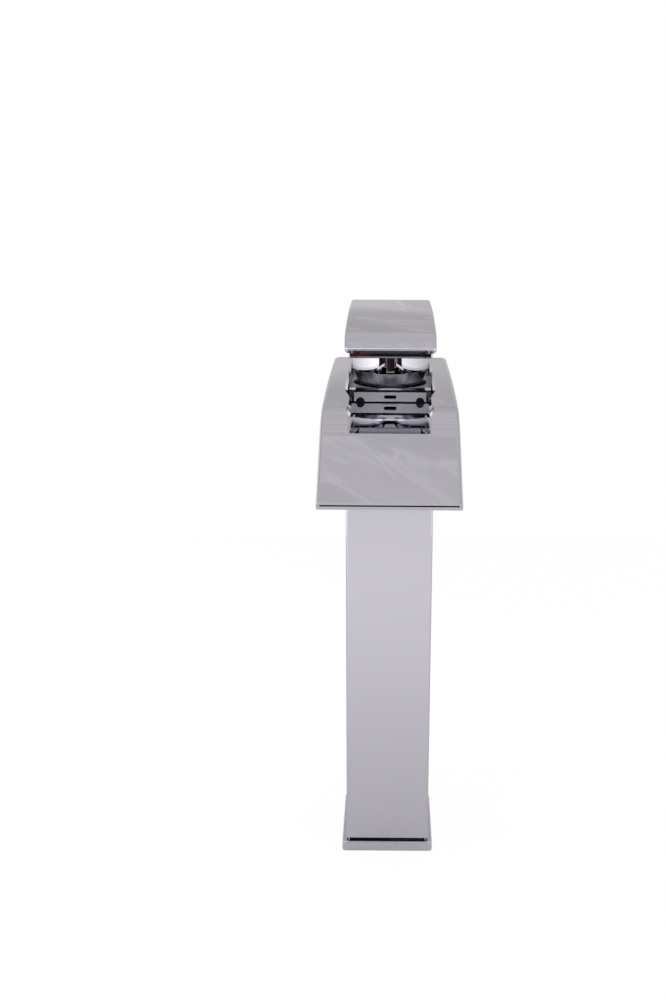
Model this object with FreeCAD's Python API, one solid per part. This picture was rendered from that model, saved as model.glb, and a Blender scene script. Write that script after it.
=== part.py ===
"""Tall single-lever basin faucet with a waterfall spout, in millimetres, +Z up.

The origin is the centre of the base on the basin deck. The spout points along -Y.
A square column carries an arched hollow spout. A small cartridge stands in a pit in the
spout's cover, under a hub that turns and tilts with the lever.
"""
import FreeCAD, Part
import math
import os

os.makedirs("parts", exist_ok=True)

# ---- clearances shared by everything that fits together ----
FIT = 0.05               # pieces that seat in each other without moving
RUN = 0.08               # radial running clearance of turning pieces
SWING_GAP = 0.7          # hub to the sides of its pit

# ---- base and column ----
COLUMN_W = 45.0
COLUMN_WALL = 2.0
COLUMN_EDGE_R = 1.2
COLUMN_TOP = 251.0       # above the deck; the head, spout and lever sit on it
FLANGE_LEDGE = 2.35      # flange beyond the column all round
FLANGE_T = 5.4
FLANGE_CORNER_R = 2.2
FLANGE_EDGE_R = 0.7
REVEAL_H = 0.9           # shadow groove between column and flange
REVEAL_D = 0.7
GASKET_W = 2.4
GASKET_T = 1.5
GASKET_EDGE = 1.85       # flange rim outside the gasket
FOOT_R = 13.4            # round foot of the inlet block, through the flange
INLET_BLOCK_H = 28.0
STUD_R = 3.4
STUD_DEPTH = 16.0
STUD_Y = -7.8
INLET_R = 4.5
INLET_DEPTH = 12.0
INLET_X = 6.2
INLET_Y = 4.8
FLANGE_SCREW_EDGE = 4.9  # screw to the column's inner face
SCREW_R = 1.5
SCREW_HEAD_R = 2.7
SCREW_HEAD_H = 1.7
SCREW_LEN = 9.0
SCREW_SINK = 0.3         # heads lie this far under the face

# ---- water pipes inside the column ----
PIPE_R = 4.0
PIPE_WALL = 0.8
PIPE_SOCKET = 6.0
PIPE_X = 9.0
PIPE_Y = 5.5
DRILL_R = 2.4

# ---- head block and cartridge ----
PORT_PCR = 6.0           # cartridge ports on this radius
PORT_R = 2.0
PORT_DEG = 35.0          # the two inlet ports, from the X axis
SEAL_T = 1.0
HEAD_H = 46.0
GASKET_HEAD_T = 1.0
CART_R = 12.5
CART_WALL = 1.3
CART_BASE_T = 3.6
DISC_T = 3.4
SLIDER_T = 3.4
ROTOR_FLANGE_T = 5.0
SHOULDER_T = 1.6
NUT_R = 14.4
NUT_H = 6.0
NUT_SLOT_W = 3.0         # slots for the wrench, in the nut's rim
NUT_SLOT_H = 2.0
NUT_SLOT_DEPTH = 2.2
NUT_SINK = 1.5           # nut below the top of the head block
NECK_R = 9.0
ROTOR_R = 7.5
PIVOT_RISE = 1.2         # lift pivot above the spout's top
NECK_OVER_PIVOT = 4.0
PIN_R = 1.5
ARM = 12.0               # pivot to the ball that drives the slider
BALL_R = 2.2
BALL_PLAY = 0.25
BALL_SHANK_R = 1.6
LIFT_DEG = 20.0
STEM_W = 8.0
STEM_END_GAP = 0.3
STEM_CHAMFER = 0.5
SLIDER_POST_X = 3.0
SLIDER_POST_Y = 2.6
SLIDER_POST_PLAY = 0.2   # post to the end of its slot
ROTOR_PROUD = 0.5        # rotor above the housing's neck
STEM_SLOT_DEPTH = 2.5    # stem's slot below the ball
DISC_SLIDE_R = 8.6
HOLLOW_R = 3.612         # mixing hollow under the moving disc
HOLLOW_DEPTH = 2.04
HOLLOW_BACK = 2.0        # its centre in front of the disc's
BONNET_T = 0.9

# ---- spout ----
SPOUT_OVERHANG = 8.15    # spout beyond the column at each side
SPOUT_TAIL = 12.5        # spout behind the pit
SPOUT_DEPTH = 13.4       # tray's floor to the cover's top, over the column
SPOUT_CORNER_R = 4.0
SPOUT_EDGE_R = 1.8
BEND_Y = -5.0            # the flat top ends here
BEND_R = 741.0
BEND_DEG = 5.5
NOSE_R = 42.0
LIP_DEG = 40.0
LIP_Y = -125.5
COVER_T = 1.6
CHEEK_T = 1.4
SLIT_H = 1.1
TRAY_T = 2.4

# ---- hub pit and window in the cover ----
HUB_INSET = 2.9          # hub inside the column's faces
PIT_TAIL = 4.9           # room behind the hub
PIT_CORNER_R = 7.0
PIT_WALL = 1.6
PIT_LEDGE = 3.0          # floor of the pit round the nut's hole
THROAT_START_Y = -48.0   # the pit opening narrows to the window between these
THROAT_END_Y = -70.0
WINDOW_HALF = 17.6
WINDOW_FRONT_Y = -97.0
WINDOW_CORNER_R = 1.0
WINDOW_CHAMFER = 1.1
TROUGH_FILLET = 3.0
TROUGH_H = 6.6

# ---- water outlet ----
OUTLET_D = 6.2
OUTLET_H = 6.4
CHANNEL_W = 18.0
CHANNEL_D = 1.5
CHANNEL_EDGE = 0.55      # metal between the channel and the head block's front face
CHANNEL_WALL = 0.6
PLATE_SIDE = 2.25        # mirror frame at each side of the plate
PLATE_T = 1.0
PLATE_MARGIN = 0.5       # metal left under the plate
PLATE_H = 4.7
PORT_W = 6.4
PORT_H = 1.9
PORT_RISE = 2.3          # port centre above the plate's lower edge
PORT_RING = 0.9
PORT_PROUD = 0.35        # the port's rim in front of the plate
CHAMBER_H = 3.2          # water chamber behind the plate
SIDE_HOLE_DEPTH = 3.0
SIDE_HOLE_EDGE = 3.1     # hole's centre to the plate's end
SIDE_HOLE_R = 2.1

# ---- spout fastenings ----
TRAY_SCREW_EDGE = 3.1    # screw to the column's inner face
TRAY_SCREW_Y = 12.5
COVER_SCREW_EDGE = 5.25  # screw to the spout's side
COVER_SCREW_Y = (30.8, -46.0)
BOSS_R = 3.0

# ---- lever ----
CONE_H = 9.3
CONE_SLOPE_DEG = 21.4
CONE_LIP_T = 1.45
SLEEVE_T = 2.6
SLEEVE_H = 10.4
SLEEVE_ROOF_T = 2.2
SPIGOT_H = 3.0
SPIGOT_T = 1.2
GROOVE_H = 0.35          # fine line where cone and sleeve meet
GROOVE_D = 0.45
BLOCK_W = 41.0
BLOCK_FRONT_Y = -34.0
BLOCK_REAR_Y = 22.0
BLOCK_WALL = 2.4
BLOCK_EDGE_R = 0.9
SOCKET_WALL = 4.0
SOCKET_DEPTH = 12.0
LEVER_W = 42.5
LEVER_REAR_Y = 36.0
LEVER_RISE = 21.1        # lever's top above the hub
LEVER_T = 3.2
LEVER_BEND_Y = 8.0
LEVER_BEND_R = 330.0
LEVER_BEND_DEG = 10.5
LEVER_NOSE_R = 12.0
LEVER_LIP_DEG = 50.0
LEVER_LIP_Y = -61.7
LEVER_CORNER_R = 2.0
LEVER_EDGE_R = 1.0
GRUB_R = 2.5
GRUB_LEN = 6.0
GRUB_SOCKET_R = 1.25
GRUB_SOCKET_DEPTH = 2.5
CAP_R = 3.6
CAP_T = 1.6
CAP_STEM_LEN = 2.0
CAP_STEM_GAP = 0.3       # cap's stem inside the screw's bore

# ---- sizes worked out from those above ----
FLANGE_W = COLUMN_W + 2 * FLANGE_LEDGE
SPOUT_W = COLUMN_W + 2 * SPOUT_OVERHANG
GASKET_HALF = FLANGE_W / 2 - GASKET_EDGE
COLUMN_INNER = COLUMN_W / 2 - COLUMN_WALL
HUB_R = COLUMN_W / 2 - HUB_INSET
FLANGE_SCREW_XY = COLUMN_INNER - FLANGE_SCREW_EDGE
TRAY_SCREW_X = COLUMN_INNER - TRAY_SCREW_EDGE
COVER_SCREW_X = SPOUT_W / 2 - COVER_SCREW_EDGE
FLOOR_UNDER = COLUMN_TOP
FLOOR_Z = FLOOR_UNDER + TRAY_T
SPOUT_TOP = FLOOR_Z + SPOUT_DEPTH
HEAD_TOP = FLOOR_UNDER - GASKET_HEAD_T
HEAD_BOTTOM = HEAD_TOP - HEAD_H
NUT_BOTTOM = HEAD_TOP - NUT_SINK - NUT_H
SHOULDER_Z = NUT_BOTTOM - SHOULDER_T
ROTOR_BOTTOM = SHOULDER_Z - FIT - ROTOR_FLANGE_T
SLIDER_BOTTOM = ROTOR_BOTTOM - FIT - SLIDER_T
SLIDE_PLANE = SLIDER_BOTTOM - DISC_T
DISC_BOTTOM = SLIDE_PLANE - DISC_T
CART_FLOOR = DISC_BOTTOM - CART_BASE_T
PIVOT_Z = SPOUT_TOP + PIVOT_RISE
NECK_TOP = PIVOT_Z + NECK_OVER_PIVOT
PIT_HALF = HUB_R + SWING_GAP
PIT_HOLE_R = PIT_HALF - PIT_LEDGE
PLATE_W = 2 * (PIT_HALF - FIT - PLATE_SIDE)
SIDE_HOLE_X = PLATE_W / 2 - SIDE_HOLE_EDGE
PIT_REAR_Y = HUB_R + PIT_TAIL
SPOUT_REAR_Y = PIT_REAR_Y + SPOUT_TAIL
TRAY_HALF = SPOUT_W / 2 - CHEEK_T - FIT
TROUGH_TOP = FLOOR_Z + TROUGH_H
CHANNEL_Y = -(COLUMN_INNER - FIT - CHANNEL_EDGE - CHANNEL_D / 2)
OUTLET_REAR_Y = CHANNEL_Y + CHANNEL_D / 2 + CHANNEL_WALL
OUTLET_FRONT_Y = OUTLET_REAR_Y - OUTLET_D
OUTLET_TOP = FLOOR_Z + OUTLET_H
CONE_BOTTOM = SPOUT_TOP - CONE_H
SLEEVE_TOP = SPOUT_TOP + SLEEVE_H
LEVER_TOP = SLEEVE_TOP + LEVER_RISE
BALL_Z = PIVOT_Z - ARM
TRAVEL = ARM * math.radians(LIFT_DEG)
CAVITY_R = CART_R - CART_WALL
BIG = 400.0              # cutting forms run at least this far past the part
PAST = 5.0               # a cutting form's overrun at a lip


def box(x0, x1, y0, y1, z0, z1):
    corner = FreeCAD.Vector(x0, y0, z0)
    return Part.makeBox(x1 - x0, y1 - y0, z1 - z0, corner)


def rod(radius, z0, z1, x=0.0, y=0.0):
    return Part.makeCylinder(radius, z1 - z0, FreeCAD.Vector(x, y, z0))


def rod_along(axis, radius, start, length):
    return Part.makeCylinder(radius, length, FreeCAD.Vector(*start), FreeCAD.Vector(*axis))


def ring(outer, inner, z0, z1):
    return rod(outer, z0, z1).cut(rod(inner, z0, z1))


def square_bar(half, corner_r, z0, z1):
    """A square prism about the Z axis with rounded upright edges."""
    bar = box(-half, half, -half, half, z0, z1)
    return bar.makeFillet(corner_r, upright_edges(bar))


def upright_edges(solid):
    return [e for e in solid.Edges if is_straight(e) and abs(tangent(e).z) > 0.999]


def is_straight(edge):
    return isinstance(edge.Curve, Part.Line)


def tangent(edge):
    return edge.tangentAt(edge.FirstParameter)


def revolve(points):
    """A solid of revolution about Z from (radius, height) points."""
    corners = [FreeCAD.Vector(r, 0, z) for r, z in points]
    outline = Part.makePolygon(corners + corners[:1])
    turned = Part.Face(outline).revolve(FreeCAD.Vector(0, 0, 0), FreeCAD.Vector(0, 0, 1), 360)
    return turned if turned.Volume > 0 else turned.reversed()


def countersunk(x, y, head_z, length, up=True):
    """A countersunk screw at (x, y) whose head's flat face is at head_z."""
    way = 1 if up else -1
    axis = FreeCAD.Vector(0, 0, way)
    start = FreeCAD.Vector(x, y, head_z)
    head = Part.makeCone(SCREW_HEAD_R, SCREW_R, SCREW_HEAD_H, start, axis)
    shank = Part.makeCylinder(SCREW_R, length, start, axis)
    return head.fuse(shank)


def hex_socket(x, y, head_z, up=True):
    """The tool for a screw's hexagon socket, sunk from head_z."""
    way = 1 if up else -1
    across = SCREW_R * 1.1
    corners = []
    for k in range(7):
        angle = math.radians(60 * k)
        corners.append(FreeCAD.Vector(x + across * math.cos(angle), y + across * math.sin(angle), head_z))
    face = Part.Face(Part.makePolygon(corners))
    return face.extrude(FreeCAD.Vector(0, 0, way * SCREW_HEAD_H * 0.8))


def screw(x, y, head_z, length, up=True):
    return countersunk(x, y, head_z, length, up).cut(hex_socket(x, y, head_z, up))


# ---- bent sheets: the side view of the spout and of the lever ----
class Bend:
    """A side outline in the YZ plane: a flat run, a long gentle arc, a tight arc and a straight lip.

    It runs from the rear towards -Y. depth is measured square to the outline, inwards.
    """

    def __init__(self, rear_y, top, bend_y, bend_r, bend_deg, nose_r, lip_deg, lip_y):
        self.rear_y = rear_y
        self.top = top
        self.bend_y = bend_y
        self.bend_r = bend_r
        self.nose_r = nose_r
        self.a1 = math.radians(bend_deg)
        self.a2 = math.radians(lip_deg)
        self.c1 = (bend_y, top - bend_r)
        y1, z1 = self.on_arc(self.c1, bend_r, self.a1)
        self.c2 = (y1 + nose_r * math.sin(self.a1), z1 - nose_r * math.cos(self.a1))
        y2 = self.on_arc(self.c2, nose_r, self.a2)[0]
        self.straight = (y2 - lip_y) / math.cos(self.a2)

    @staticmethod
    def on_arc(centre, radius, angle):
        return centre[0] - radius * math.sin(angle), centre[1] + radius * math.cos(angle)

    def lip(self, depth):
        y2, z2 = self.on_arc(self.c2, self.nose_r - depth, self.a2)
        run = self.straight
        return y2 - run * math.cos(self.a2), z2 - run * math.sin(self.a2)

    def edges(self, depth, rear_y=None):
        """The outline at this depth, as joined edges from the rear to the lip."""
        rear = self.rear_y if rear_y is None else rear_y
        p0 = at(rear, self.top - depth)
        p1 = at(self.bend_y, self.top - depth)
        r1 = self.bend_r - depth
        r2 = self.nose_r - depth
        m1 = at(*self.on_arc(self.c1, r1, self.a1 / 2))
        p2 = at(*self.on_arc(self.c1, r1, self.a1))
        m2 = at(*self.on_arc(self.c2, r2, (self.a1 + self.a2) / 2))
        p3 = at(*self.on_arc(self.c2, r2, self.a2))
        p4 = at(*self.lip(depth))
        arcs = [Part.Arc(p1, m1, p2).toShape(), Part.Arc(p2, m2, p3).toShape()]
        return [Part.makeLine(p0, p1)] + arcs + [Part.makeLine(p3, p4)]

    def height(self, y, depth=0.0):
        """The outline's height at y, on the flat run or the gentle arc."""
        if y >= self.bend_y:
            return self.top - depth
        r1 = self.bend_r - depth
        return self.c1[1] + math.sqrt(r1 ** 2 - (y - self.bend_y) ** 2)


class Floor:
    """The tray's side outline: level, then one arc that ends square to the lip."""

    def __init__(self, level, end, lip_deg):
        self.level = level
        self.a = math.radians(lip_deg)
        self.r = (level - end[1]) / (1 - math.cos(self.a))
        self.start_y = end[0] + self.r * math.sin(self.a)

    def edges(self, depth, rear_y):
        r = self.r - depth
        p0 = at(rear_y, self.level - depth)
        p1 = at(self.start_y, self.level - depth)
        centre = (self.start_y, self.level - self.r)
        mid = at(*Bend.on_arc(centre, r, self.a / 2))
        end = at(*Bend.on_arc(centre, r, self.a))
        return [Part.makeLine(p0, p1), Part.Arc(p1, mid, end).toShape()]


def at(y, z, x=0.0):
    return FreeCAD.Vector(x, y, z)


def end_of(edges):
    return edges[-1].Vertexes[-1].Point


def start_of(edges):
    return edges[0].Vertexes[0].Point


def slab(upper, lower, half):
    """The solid between two side outlines, half wide each side of X = 0."""
    front = Part.makeLine(end_of(upper), end_of(lower))
    back = Part.makeLine(start_of(lower), start_of(upper))
    wire = Part.Wire(Part.__sortEdges__(upper + [front] + lower + [back]))
    wire.translate(FreeCAD.Vector(-half, 0, 0))
    return Part.Face(wire).extrude(FreeCAD.Vector(2 * half, 0, 0))


def below(upper, half, z_low):
    """Everything under a side outline down to z_low, past the lip too."""
    tip = end_of(upper)
    root = start_of(upper)
    corners = [tip, at(tip.y - PAST, tip.z - PAST), at(tip.y - PAST, z_low), at(root.y, z_low), root]
    walls = [Part.makeLine(a, b) for a, b in zip(corners, corners[1:])]
    wire = Part.Wire(Part.__sortEdges__(upper + walls))
    wire.translate(FreeCAD.Vector(-half, 0, 0))
    return Part.Face(wire).extrude(FreeCAD.Vector(2 * half, 0, 0))


def round_edges(solid, radius, wanted):
    chosen = [e for e in solid.Edges if wanted(e)]
    return solid.makeFillet(radius, chosen)


SPOUT = Bend(SPOUT_REAR_Y, SPOUT_TOP, BEND_Y, BEND_R, BEND_DEG, NOSE_R, LIP_DEG, LIP_Y)
FLOOR = Floor(FLOOR_Z, SPOUT.lip(COVER_T + SLIT_H), LIP_DEG)
LEVER = Bend(LEVER_REAR_Y, LEVER_TOP, LEVER_BEND_Y, LEVER_BEND_R, LEVER_BEND_DEG,
             LEVER_NOSE_R, LEVER_LIP_DEG, LEVER_LIP_Y)


# ---- base ----
def flange_screw_places():
    s = FLANGE_SCREW_XY
    return [(s, s), (-s, s), (-s, -s), (s, -s)]


def make_base_flange():
    plate = square_bar(FLANGE_W / 2, FLANGE_CORNER_R, 0, FLANGE_T)
    plate = round_edges(plate, FLANGE_EDGE_R, lambda e: e.BoundBox.ZMin > FLANGE_T - 0.01)
    plate = plate.cut(rod(FOOT_R + FIT, 0, FLANGE_T))
    outer = square_bar(GASKET_HALF + FIT, FLANGE_CORNER_R, 0, GASKET_T + FIT)
    inner = square_bar(GASKET_HALF - GASKET_W - FIT, FLANGE_CORNER_R, 0, GASKET_T + FIT)
    plate = plate.cut(outer.cut(inner))
    for x, y in flange_screw_places():
        plate = plate.cut(screw_hole(x, y, SCREW_SINK, BIG))
    return plate


def screw_hole(x, y, head_z, length, up=True):
    """The seat for a countersunk screw, a fit clearance larger all round."""
    way = 1 if up else -1
    axis = FreeCAD.Vector(0, 0, way)
    start = FreeCAD.Vector(x, y, head_z)
    mouth = Part.makeCylinder(SCREW_HEAD_R + FIT, BIG, start, axis.negative())
    head = Part.makeCone(SCREW_HEAD_R + FIT, SCREW_R + FIT, SCREW_HEAD_H, start, axis)
    shank = Part.makeCylinder(SCREW_R + FIT, length, start, axis)
    return head.fuse(shank).fuse(mouth)


def make_base_gasket():
    outer = square_bar(GASKET_HALF, FLANGE_CORNER_R, 0, GASKET_T)
    inner = square_bar(GASKET_HALF - GASKET_W, FLANGE_CORNER_R, 0, GASKET_T)
    return outer.cut(inner)


def make_flange_screws():
    screws = [screw(x, y, SCREW_SINK, SCREW_LEN) for x, y in flange_screw_places()]
    return Part.makeCompound(screws)


def make_inlet_block():
    half = COLUMN_INNER - FIT
    block = square_bar(half, COLUMN_EDGE_R, FLANGE_T, FLANGE_T + INLET_BLOCK_H)
    block = block.fuse(rod(FOOT_R, 0, FLANGE_T)).removeSplitter()
    top = FLANGE_T + INLET_BLOCK_H
    block = block.cut(rod(STUD_R, 0, STUD_DEPTH, 0, STUD_Y))
    for side in (-1, 1):
        block = block.cut(rod(INLET_R, 0, INLET_DEPTH, side * INLET_X, INLET_Y))
        block = block.cut(rod(DRILL_R, INLET_DEPTH, top, side * (INLET_X + PIPE_X) / 2, PIPE_Y))
        block = block.cut(rod(PIPE_R + FIT, top - PIPE_SOCKET, top, side * PIPE_X, PIPE_Y))
    for x, y in flange_screw_places():
        block = block.cut(rod(SCREW_R + FIT, 0, SCREW_SINK + SCREW_LEN + FIT, x, y))
    return block


def make_column_body():
    outer = square_bar(COLUMN_W / 2, COLUMN_EDGE_R, FLANGE_T, COLUMN_TOP)
    inner = square_bar(COLUMN_INNER, COLUMN_EDGE_R, FLANGE_T, COLUMN_TOP)
    reveal_out = square_bar(FLANGE_W / 2, COLUMN_EDGE_R, FLANGE_T, FLANGE_T + REVEAL_H)
    reveal_in = square_bar(COLUMN_W / 2 - REVEAL_D, COLUMN_EDGE_R, FLANGE_T, FLANGE_T + REVEAL_H)
    return outer.cut(inner).cut(reveal_out.cut(reveal_in))


def make_riser(side):
    low = FLANGE_T + INLET_BLOCK_H - PIPE_SOCKET
    high = HEAD_BOTTOM + PIPE_SOCKET
    tube = rod(PIPE_R, low, high, side * PIPE_X, PIPE_Y)
    return tube.cut(rod(PIPE_R - PIPE_WALL, low, high, side * PIPE_X, PIPE_Y))


# ---- head block and cartridge ----
def cartridge_ports():
    """The two inlet ports and the mixed-water port under the cartridge."""
    back = PORT_PCR * math.sin(math.radians(PORT_DEG))
    side = PORT_PCR * math.cos(math.radians(PORT_DEG))
    return [(-side, back), (side, back), (0.0, -PORT_PCR)]


def channel(z0, z1):
    """The flat upright water way at the front, up into the outlet block."""
    w = CHANNEL_W / 2
    d = CHANNEL_D / 2
    return box(-w, w, CHANNEL_Y - d, CHANNEL_Y + d, z0, z1)


def make_head_block():
    block = square_bar(COLUMN_INNER - FIT, COLUMN_EDGE_R, HEAD_BOTTOM, HEAD_TOP)
    block = block.cut(rod(CART_R + FIT, CART_FLOOR, HEAD_TOP))
    block = block.cut(rod(NUT_R + FIT, NUT_BOTTOM, HEAD_TOP))
    block = block.cut(rod(PIT_HOLE_R, NUT_BOTTOM + NUT_H - BONNET_T, HEAD_TOP))
    for x, y in cartridge_ports()[:2]:
        side = math.copysign(1, x)
        block = block.cut(rod(DRILL_R, HEAD_BOTTOM + PIPE_SOCKET - 1, CART_FLOOR, x + side, y))
        block = block.cut(rod(PIPE_R + FIT, HEAD_BOTTOM, HEAD_BOTTOM + PIPE_SOCKET, side * PIPE_X, PIPE_Y))
    x, y = cartridge_ports()[2]
    cross_z = CART_FLOOR - 2 * DRILL_R
    block = block.cut(rod(DRILL_R, cross_z, CART_FLOOR, x, y))
    block = block.cut(rod_along((0, -1, 0), DRILL_R, (x, y, cross_z), y - CHANNEL_Y))
    block = block.cut(channel(cross_z - DRILL_R, HEAD_TOP))
    for x, y in tray_screw_places():
        block = block.cut(rod(SCREW_R + FIT, FLOOR_Z - SCREW_LEN - FIT, HEAD_TOP, x, y))
    return block


def make_spout_gasket():
    seal = square_bar(COLUMN_INNER - FIT, COLUMN_EDGE_R, HEAD_TOP, FLOOR_UNDER)
    seal = seal.cut(rod(PIT_HOLE_R, HEAD_TOP, FLOOR_UNDER)).cut(channel(HEAD_TOP, FLOOR_UNDER))
    for x, y in tray_screw_places():
        seal = seal.cut(rod(SCREW_R + FIT, HEAD_TOP, FLOOR_UNDER, x, y))
    return seal


def make_cartridge_base():
    base = rod(CART_R, CART_FLOOR, CART_FLOOR + CART_BASE_T / 2)
    base = base.fuse(rod(CAVITY_R - FIT, CART_FLOOR, DISC_BOTTOM)).removeSplitter()
    for x, y in cartridge_ports():
        base = base.cut(rod(PORT_R, CART_FLOOR, DISC_BOTTOM, x, y))
        base = base.cut(rod(PORT_R + SEAL_T + FIT, CART_FLOOR, CART_FLOOR + SEAL_T + FIT, x, y))
    return base


def make_cartridge_seals():
    seals = []
    for x, y in cartridge_ports():
        seal = rod(PORT_R + SEAL_T, CART_FLOOR, CART_FLOOR + SEAL_T, x, y)
        seals.append(seal.cut(rod(PORT_R, CART_FLOOR, CART_FLOOR + SEAL_T, x, y)))
    return Part.makeCompound(seals)


def make_fixed_disc():
    disc = rod(CAVITY_R - FIT, DISC_BOTTOM, SLIDE_PLANE - FIT)
    for x, y in cartridge_ports():
        disc = disc.cut(rod(PORT_R, DISC_BOTTOM, SLIDE_PLANE, x, y))
    return disc


def make_moving_disc():
    """The sliding disc, with its mixing hollow open downwards."""
    centre = TRAVEL / 2
    disc = rod(DISC_SLIDE_R, SLIDE_PLANE, SLIDER_BOTTOM, 0, centre)
    hollow = rod(HOLLOW_R, SLIDE_PLANE, SLIDE_PLANE + HOLLOW_DEPTH, 0, centre - HOLLOW_BACK)
    return disc.cut(hollow)


def make_slider():
    """The plastic carrier that the lever's ball pushes along."""
    plate = rod(DISC_SLIDE_R, SLIDER_BOTTOM, SLIDER_BOTTOM + SLIDER_T, 0, TRAVEL / 2)
    px = SLIDER_POST_X
    py = SLIDER_POST_Y
    post = box(-px, px, -py, py, SLIDER_BOTTOM + SLIDER_T / 2, BALL_Z + BALL_R)
    whole = plate.fuse(post).removeSplitter()
    hole = rod(BALL_R + BALL_PLAY, BALL_Z - 2 * BALL_R, BALL_Z + BALL_R)
    return whole.cut(hole)


def make_cartridge_housing():
    low = CART_FLOOR + CART_BASE_T / 2
    points = [(CAVITY_R, low), (CART_R, low), (CART_R, NUT_BOTTOM)]
    points += [(NECK_R, NUT_BOTTOM), (NECK_R, NECK_TOP), (ROTOR_R + RUN, NECK_TOP)]
    points += [(ROTOR_R + RUN, SHOULDER_Z), (CAVITY_R, SHOULDER_Z)]
    return revolve(points)


def make_cartridge_nut():
    nut = ring(NUT_R, NECK_R + 4 * FIT, NUT_BOTTOM, NUT_BOTTOM + NUT_H)
    slot_top = NUT_BOTTOM + NUT_H
    slot_z = slot_top - NUT_SLOT_H
    for angle in (0, 60, 120):
        slot = box(-NUT_R, NUT_R, -NUT_SLOT_W / 2, NUT_SLOT_W / 2, slot_z, slot_top)
        slot = slot.cut(rod(NUT_R - NUT_SLOT_DEPTH, slot_z, slot_top))
        slot.rotate(FreeCAD.Vector(0, 0, 0), FreeCAD.Vector(0, 0, 1), angle)
        nut = nut.cut(slot)
    return nut


def make_bonnet_ring():
    """A thin dished trim ring that hides the nut in the bottom of the pit."""
    low = NUT_BOTTOM + NUT_H
    inner = NECK_R + 3 * FIT
    outer = PIT_HOLE_R - 2 * FIT
    t = BONNET_T
    points = [(inner, low), (NUT_R, low), (outer, low - t + FIT), (outer, low + FIT)]
    points += [(NUT_R + t, low + t), (inner, low + t)]
    return revolve(points)


def make_lever_rotor():
    """The turning middle of the cartridge, slotted for the stem and the slider's post."""
    rotor = rod(ROTOR_R, ROTOR_BOTTOM, NECK_TOP + ROTOR_PROUD)
    rotor = rotor.fuse(rod(CAVITY_R - RUN, ROTOR_BOTTOM, ROTOR_BOTTOM + ROTOR_FLANGE_T)).removeSplitter()
    sx = STEM_W / 2 + FIT
    rotor = rotor.cut(box(-sx, sx, -BIG, BIG, BALL_Z - BALL_R - STEM_SLOT_DEPTH, BIG))
    px = SLIDER_POST_X + RUN
    py = SLIDER_POST_Y + SLIDER_POST_PLAY
    rotor = rotor.cut(box(-px, px, -py - TRAVEL, py, ROTOR_BOTTOM, BALL_Z))
    return rotor.cut(rod_along((1, 0, 0), PIN_R + FIT, (-ROTOR_R, 0, PIVOT_Z), 2 * ROTOR_R))


def make_pivot_pin():
    half = math.sqrt(ROTOR_R ** 2 - PIN_R ** 2) - FIT
    return rod_along((1, 0, 0), PIN_R, (-half, 0, PIVOT_Z), 2 * half)


def make_lever_stem():
    """The square stem with its eye for the pin and the ball that drives the slider."""
    half = STEM_W / 2
    top = SLEEVE_TOP + SOCKET_DEPTH - STEM_END_GAP
    stem = box(-half, half, -half, half, PIVOT_Z, top)
    stem = stem.makeChamfer(STEM_CHAMFER, [e for e in stem.Edges if e.BoundBox.ZMin > top - 0.01])
    eye = rod_along((1, 0, 0), half, (-half, 0, PIVOT_Z), STEM_W)
    shank = rod(BALL_SHANK_R, BALL_Z, PIVOT_Z)
    ball = Part.makeSphere(BALL_R, at(0, BALL_Z))
    stem = stem.fuse(eye).fuse(shank).fuse(ball).removeSplitter()
    return stem.cut(rod_along((1, 0, 0), PIN_R + FIT, (-half, 0, PIVOT_Z), STEM_W))


# ---- spout ----
def tray_screw_places():
    return [(sx * TRAY_SCREW_X, sy * TRAY_SCREW_Y) for sx in (-1, 1) for sy in (-1, 1)]


def cover_screw_places():
    return [(sx * COVER_SCREW_X, y) for sx in (-1, 1) for y in COVER_SCREW_Y]


def floor_height(y):
    """The tray's upper face at y."""
    if y >= FLOOR.start_y:
        return FLOOR_Z
    return FLOOR_Z - FLOOR.r + math.sqrt(FLOOR.r ** 2 - (y - FLOOR.start_y) ** 2)


def opening_outline():
    """The plan of the cover's opening: a square pit that narrows to the window."""
    ph = PIT_HALF
    wh = WINDOW_HALF
    rear = PIT_REAR_Y
    r = PIT_CORNER_R
    k = r * (1 - math.sqrt(0.5))
    rear_arc = Part.Arc(at(rear - r, 0, ph), at(rear - k, 0, ph - k), at(rear, 0, ph - r)).toShape()
    side = Part.makeLine(at(THROAT_START_Y, 0, ph), at(rear - r, 0, ph))
    pull = (THROAT_START_Y - THROAT_END_Y) * 0.5
    throat = Part.BezierCurve()
    throat.setPoles([at(THROAT_END_Y, 0, wh), at(THROAT_END_Y + pull, 0, wh),
                     at(THROAT_START_Y - pull, 0, ph), at(THROAT_START_Y, 0, ph)])
    front = WINDOW_FRONT_Y
    c = WINDOW_CORNER_R
    m = c * (1 - math.sqrt(0.5))
    window_side = Part.makeLine(at(front + c, 0, wh), at(THROAT_END_Y, 0, wh))
    front_arc = Part.Arc(at(front, 0, wh - c), at(front + m, 0, wh - m), at(front + c, 0, wh)).toShape()
    right = [front_arc, window_side, throat.toShape(), side, rear_arc]
    left = [e.mirror(FreeCAD.Vector(0, 0, 0), FreeCAD.Vector(1, 0, 0)) for e in right]
    ends = [Part.makeLine(at(front, 0, c - wh), at(front, 0, wh - c)),
            Part.makeLine(at(rear, 0, r - ph), at(rear, 0, ph - r))]
    return Part.Wire(Part.__sortEdges__(right + left + ends))


def under_edges(rear_y):
    return FLOOR.edges(TRAY_T, rear_y)


def spout_outside():
    """The whole spout as one closed form, before it is hollowed."""
    body = slab(SPOUT.edges(0), under_edges(SPOUT_REAR_Y), SPOUT_W / 2)
    return round_edges(body, SPOUT_CORNER_R, is_rear_upright)


def is_rear_upright(edge):
    b = edge.BoundBox
    return b.YMin > SPOUT_REAR_Y - 0.01 and b.ZLength > 1


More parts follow.
